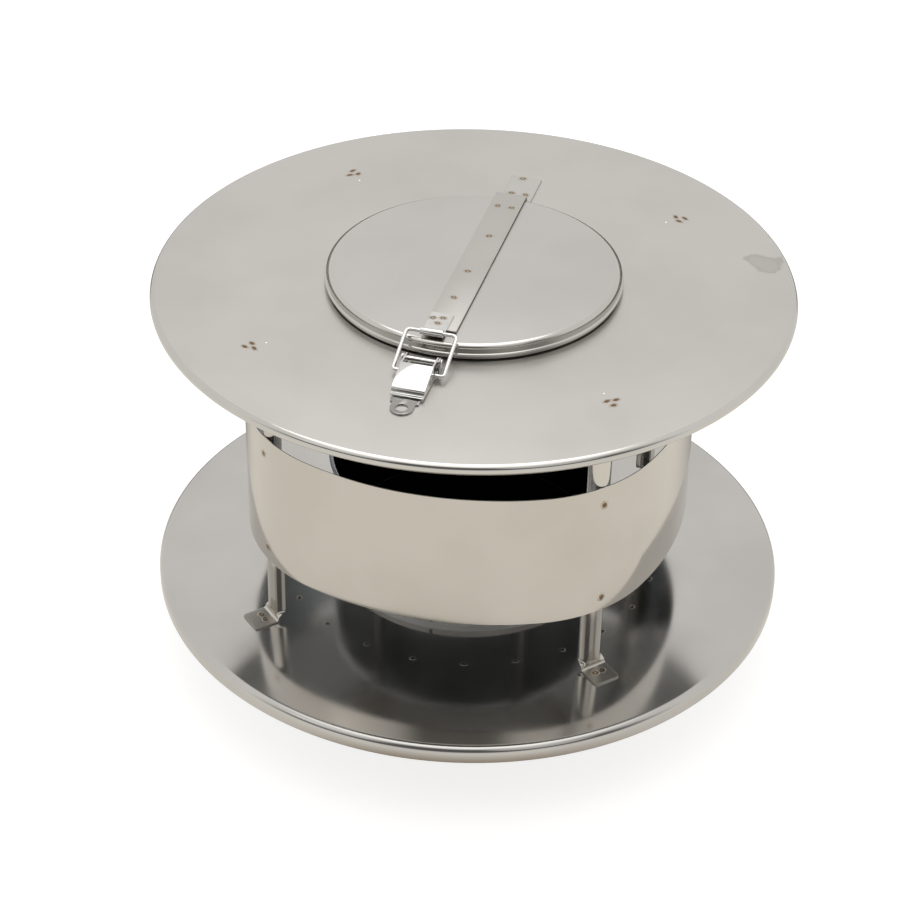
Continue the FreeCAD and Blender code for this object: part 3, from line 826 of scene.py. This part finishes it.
# Round marks on level sheets: x, y, radius
STRAP_MARKS = ((0, 35.5, 2.9), (-1.6, -9.5, 2.8), (-1.6, -41.5, 2.7), (-4.6, 74, 2.8), (4.6, 74, 2.8))
LEAF_MARKS = ((-2.2, 131, 2.9), (-4.6, 110.5, 2.8), (4.8, 110.5, 2.8))
KEEPER_MARKS = ((-7.0, -68.6, 2.5), (-1.0, -67.4, 2.5), (-2.6, -73.8, 2.4))
LEAF_SHEET = 1.3
KEEPER_SHEET = 1.0

# Marks of each leg: on the roof at a radius, aside and turned; on the foot aside; on the band
# at a height and aside
ROOF_MARKS = ((152.6, -5.2, 0.3), (158.0, -4.2, 0.1), (154.0, 0.2, -0.1))
FOOT_MARK_RADIUS = 154.0
FOOT_MARKS = (-2.6, 2.6)
BAND_MARKS = ((188.5, -0.2), (118.0, 1.6))

# Bright pips beside the roof's marks
PIP_PLACE = (144.8, -1.8)
PIP_RADIUS = 0.75
PIP_RISE = 0.28
PIP_AROUND = 20
PIP_RINGS = 5

# Ring of marks on the base plate round the pipe
RING_RADIUS = 124.0
RING_COUNT = 24
RING_START = -90.8


def weld_disc(vertices, faces, heats, mark, seed):
    """One spot weld: rings of (share of the radius, heat, height) about a point of the sheet."""
    point, outward, radius, squash, turn, peak = mark
    outward = Vector(outward).normalized()
    first = Vector(UP).cross(outward)
    if first.length < 0.1:
        first = Vector((math.cos(turn), math.sin(turn), 0))
    first = first.normalized()
    second = outward.cross(first)
    start = len(vertices)
    for ring, (share, heat, proud) in enumerate(WELD_PROFILE):
        rise = WELD_LIFT + proud
        for k in range(WELD_AROUND if ring else 1):
            angle = 2 * math.pi * k / WELD_AROUND
            wobble = 1 + 0.07 * math.sin(2 * angle + 1.7 * seed) + 0.05 * math.sin(5 * angle + 2.9 * seed + ring)
            reach = share * radius * MM * wobble
            place = point + first * math.cos(angle) * reach + second * math.sin(angle) * reach * squash
            vertices.append(place + outward * rise * MM)
            heats.append(min(heat, peak))
    faces += round_cap(start, WELD_AROUND, len(WELD_PROFILE) - 1)


def round_cap(start, around, rings):
    """Faces of a cap whose points are its middle and then its rings, closed by one face below."""
    faces = []
    for ring in range(rings):
        here = start + 1 + ring * around
        for k in range(around):
            after = (k + 1) % around
            if ring == 0:
                faces.append((start, here + k, here + after))
            else:
                inner = here - around
                faces.append((inner + k, here + k, here + after, inner + after))
    faces.append(tuple(here + k for k in reversed(range(around))))
    return faces


def weld_marks(name, marks, body, material):
    """Spot welds as one piece that lies on its sheet."""
    vertices, faces, heats = [], [], []
    for seed, mark in enumerate(marks):
        weld_disc(vertices, faces, heats, mark, seed)
    mesh = bpy.data.meshes.new(name)
    mesh.from_pydata(vertices, [], faces)
    mesh.attributes.new("oxide", "FLOAT", "POINT").data.foreach_set("value", heats)
    mesh.materials.append(material)
    mesh.shade_smooth()
    piece = placed(name, mesh)
    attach(piece, body)


def flat_marks(places, height):
    """Round marks on a level sheet."""
    return [(Vector((x, y, height)) * MM, UP, radius, 0.86, 0.0, RING) for x, y, radius in places]


def roof_marks(azimuth, roof):
    """Marks of one leg's spot welds on the roof."""
    across = azimuth + math.pi / 2
    return [(polar(radius, azimuth, roof, aside), UP, 3.2, 0.6, across + turn, TICK)
            for radius, aside, turn in ROOF_MARKS]


def foot_marks(azimuth, foot_top):
    """Marks of one leg's spot welds on its foot."""
    across = azimuth + math.pi / 2
    return [(polar(FOOT_MARK_RADIUS, azimuth, foot_top, aside), UP, 2.9, 0.85, across, RING)
            for aside in FOOT_MARKS]


def band_marks(azimuth, band_radius):
    """Marks of one leg's spot welds on the band's outside."""
    out = (math.cos(azimuth), math.sin(azimuth), 0)
    return [(polar(band_radius, azimuth, height, aside), out, 2.8, 1.0, 0.0, TICK)
            for height, aside in BAND_MARKS]


def ring_marks(base_top):
    """Marks of the spot welds round the pipe."""
    marks = []
    for k in range(RING_COUNT):
        azimuth = math.radians(RING_START + 360 * k / RING_COUNT)
        place = polar(RING_RADIUS, azimuth, base_top)
        marks.append((place, UP, 2.1, 0.8, azimuth + math.pi / 2, TICK))
    return marks


def sparkles(places):
    """Small bright pips beside the roof's welds, left by the electrode."""
    pip = rounded_dome(PIP_RADIUS * MM, PIP_RISE * MM)
    vertices, faces = [], []
    for place in places:
        start = len(vertices)
        vertices += [place + v for v in pip]
        faces += round_cap(start, PIP_AROUND, PIP_RINGS)
    piece = mesh_object("roof_weld_pips", vertices, faces, BRIGHT)
    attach(piece, "cap")


def rounded_dome(radius, rise):
    """Points of a low dome: its middle and then its rings."""
    vertices = [Vector((0, 0, rise))]
    for ring in range(1, PIP_RINGS + 1):
        share = ring / PIP_RINGS
        for k in range(PIP_AROUND):
            angle = 2 * math.pi * k / PIP_AROUND
            vertices.append(Vector((radius * share * math.cos(angle), radius * share * math.sin(angle),
                                    rise * (1 - share * share))))
    return vertices


def all_welds():
    roof = high("top_plate").z / MM
    base_top = low("leg_1").z / MM
    lid = high("lid_strap").z / MM
    band_radius = band_radii()[0] / MM
    on_roof, on_feet, on_band, pips = [], [], [], []
    for azimuth in leg_azimuths():
        on_roof += roof_marks(azimuth, roof)
        on_feet += foot_marks(azimuth, base_top + LEG_SHEET)
        on_band += band_marks(azimuth, band_radius)
        pips.append(polar(PIP_PLACE[0], azimuth, roof, PIP_PLACE[1]))
    weld_marks("roof_leg_welds", on_roof, "cap", SHEET_WELD)
    weld_marks("foot_welds", on_feet, "cap", STRAP_WELD)
    weld_marks("flange_ring_welds", ring_marks(base_top), "cap", BASE_WELD)
    weld_marks("band_welds", on_band, "cap", BAND_WELD)
    weld_marks("strap_welds", flat_marks(STRAP_MARKS, lid), "lid", STRAP_WELD)
    weld_marks("leaf_welds", flat_marks(LEAF_MARKS, roof + LEAF_SHEET), "cap", STRAP_WELD)
    weld_marks("keeper_welds", flat_marks(KEEPER_MARKS, lid + KEEPER_SHEET), "lid", STRAP_WELD)
    sparkles(pips)


# Studio

FLOOR_SIZE = 8.0
FLOOR_TINT = colour(0.42, 0.42, 0.42)
FLOOR_GLOW = 0.78
MOUTH_TINT = colour(0.02, 0.02, 0.02)
MOUTH_RADII = (0.085, 0.092)
ROOM_LEVEL = 0.82
OVERHEAD_LEVEL = 0.7
DARK_SHARE = 0.16
SIDE_LEVEL = 0.5
SIDE_LIGHTS = (math.radians(-124), math.radians(-46))
SIDE_LIGHT_HEIGHT = math.radians(40)
LAMP_PLACE = Vector((-0.2, 0.5, 1.9))
LAMP_TARGET = Vector((0, 0, 0.2))
LAMP_SIZE = 1.3
LAMP_POWER = 5.0


def floor():
    """The pale studio floor; under the pipe's mouth it is dark, as no light reaches it there."""
    half = FLOOR_SIZE / 2
    corners = [(-half, -half, 0), (half, -half, 0), (half, half, 0), (-half, half, 0)]
    material, nodes = new_material("studio_floor")
    parts = nodes.parts(place_of(nodes))
    distance = nodes.length(nodes.add("ShaderNodeCombineXYZ", {0: parts[X], 1: parts[Y]}).outputs[0])
    outside = nodes.spread(distance, *MOUTH_RADII, 0.0, 1.0)
    tint = nodes.mix(outside, MOUTH_TINT, FLOOR_TINT)
    seen_glow = nodes.math("MULTIPLY", outside, FLOOR_GLOW)
    reflected_painted_tint, reflected_painted_glow = painted_floor_reflection(nodes, parts, distance, outside)
    seen = nodes.add("ShaderNodeLightPath").outputs["Is Camera Ray"]
    layers = []
    # Camera rays see the evenly pale floor; other rays see a darker floor whose glow and colour are painted
    # reflection and shadow
    for shade_colour, glow_colour, glow in ((tint, colour(1, 1, 1), seen_glow),
                                            (colour(0.25, 0.24, 0.22), reflected_painted_tint, reflected_painted_glow)):
        diffuse = nodes.add("ShaderNodeBsdfDiffuse", {"Color": shade_colour})
        emission = nodes.add("ShaderNodeEmission", {"Color": glow_colour, "Strength": glow})
        layers.append(nodes.add("ShaderNodeAddShader", {0: diffuse.outputs[0], 1: emission.outputs[0]}).outputs[0])
    both = nodes.add("ShaderNodeMixShader", {0: seen, 1: layers[1], 2: layers[0]})
    nodes.add("ShaderNodeOutputMaterial", {"Surface": both.outputs[0]})
    mesh_object("floor", corners, [(0, 1, 2, 3)], material)


def painted_floor_reflection(nodes, parts, distance, outside):
    """Painted reflection: colour and glow of the floor as only the metal sees it, bright in front and dim behind,
    with a painted brown shadow close to the lip.
    """
    forward = nodes.towards_camera(parts)
    side = nodes.math("SUBTRACT", nodes.math("MULTIPLY", parts[X], TO_CAMERA.y),
                      nodes.math("MULTIPLY", parts[Y], TO_CAMERA.x))
    side = nodes.math("ABSOLUTE", side)
    painted_reflection_glow = nodes.spread(nodes.math("ADD", forward, nodes.math("MULTIPLY", side, 1.2)), -0.1, 0.3, 0.02, 0.62)
    # Painted shadow of the object on the floor in front of the lip, seen only in reflections
    painted_lip_shadow = nodes.math("MULTIPLY", nodes.spread(side, 0.05, 0.2, 1.0, 0.0),
                            nodes.spread(distance, 0.24, 0.29, 1.0, 0.0))
    tint = nodes.mix(painted_lip_shadow, colour(1, 0.965, 0.9), colour(0.36, 0.27, 0.18))
    return tint, nodes.math("MULTIPLY", outside, painted_reflection_glow)


def world():
    """A white room, brighter overhead and dark behind the camera, as metal sees it."""
    scene_world = bpy.data.worlds.new("studio")
    scene_world.use_nodes = True
    bpy.context.scene.world = scene_world
    nodes = Nodes(scene_world.node_tree)
    direction = nodes.add("ShaderNodeTexCoord").outputs["Generated"]
    parts = nodes.parts(direction)
    overhead = nodes.spread(parts[Z], 0.84, 0.98, 0.0, OVERHEAD_LEVEL)
    behind = nodes.math("MULTIPLY", nodes.spread(nodes.towards_camera(parts), 0.15, 0.6, 0.0, 1.0),
                        nodes.spread(parts[Z], 0.06, 0.3, 0.0, 1.0))
    behind = nodes.math("MULTIPLY", behind, nodes.spread(parts[Z], 0.72, 0.86, 1.0, 0.0))
    bright = nodes.math("ADD", overhead, ROOM_LEVEL)
    room = nodes.math("MULTIPLY", bright, nodes.spread(behind, 0.0, 1.0, 1.0, DARK_SHARE, False))
    for azimuth in SIDE_LIGHTS:
        aim = Vector((math.cos(azimuth), math.sin(azimuth), math.tan(SIDE_LIGHT_HEIGHT))).normalized()
        facing = nodes.add("ShaderNodeVectorMath", {0: direction, 1: aim}, operation="DOT_PRODUCT")
        glow = nodes.spread(facing.outputs["Value"], 0.95, 0.985, 0.0, SIDE_LEVEL)
        room = nodes.math("ADD", room, glow)
    lit = nodes.add("ShaderNodeBackground", {"Color": colour(1, 0.985, 0.96), "Strength": room})
    white = nodes.add("ShaderNodeBackground", {"Color": colour(1, 1, 1), "Strength": 1.0})
    seen = nodes.add("ShaderNodeLightPath").outputs["Is Camera Ray"]
    mixed = nodes.add("ShaderNodeMixShader", {0: seen, 1: lit.outputs[0], 2: white.outputs[0]})
    nodes.add("ShaderNodeOutputWorld", {"Surface": mixed.outputs[0]})


def softbox():
    """One large soft lamp above and behind."""
    light = bpy.data.lights.new("overhead_softbox", "AREA")
    light.shape = "DISK"
    light.size = LAMP_SIZE
    light.energy = LAMP_POWER
    holder = placed("overhead_softbox", light)
    holder.location = LAMP_PLACE
    holder.rotation_euler = (LAMP_TARGET - LAMP_PLACE).to_track_quat("-Z", "Y").to_euler()


def camera():
    data = bpy.data.cameras.new("reference_camera")
    data.sensor_width = CAMERA_SENSOR
    data.lens = CAMERA_LENS
    holder = placed("reference_camera", data)
    aim = (CAMERA_TARGET - CAMERA_PLACE).to_track_quat("-Z", "Y").to_matrix().to_4x4()
    holder.matrix_world = Matrix.Translation(CAMERA_PLACE) @ aim @ Matrix.Rotation(CAMERA_ROLL, 4, "Z")
    bpy.context.scene.camera = holder


camera()
world()
floor()
softbox()
base_plate()
top_plate()
hatch_lid()
hatch_neck()
flue_riser()
flue_spigot()
wind_band()
for number, angle in enumerate(leg_azimuths(), 1):
    leg(number, angle)
refined("lid_strap", "lid", STRAP_STEEL, 0.18 * MM)
refined("hinge_leaf", "cap", LEAF_STEEL, 0.18 * MM)
refined("hinge_pin", "cap", BRIGHT, 0.2 * MM)
refined("catch_keeper", "lid", BRIGHT, 0.15 * MM)
refined("latch_base", "cap", PAINTED_SHADE_LATCH, 0.15 * MM)
refined("latch_lever", "lever", BRIGHT, 0.3 * MM)
refined("lever_pin", "cap", BRIGHT, 0.2 * MM)
bail()
all_welds()

bpy.context.scene.view_settings.view_transform = "Standard"
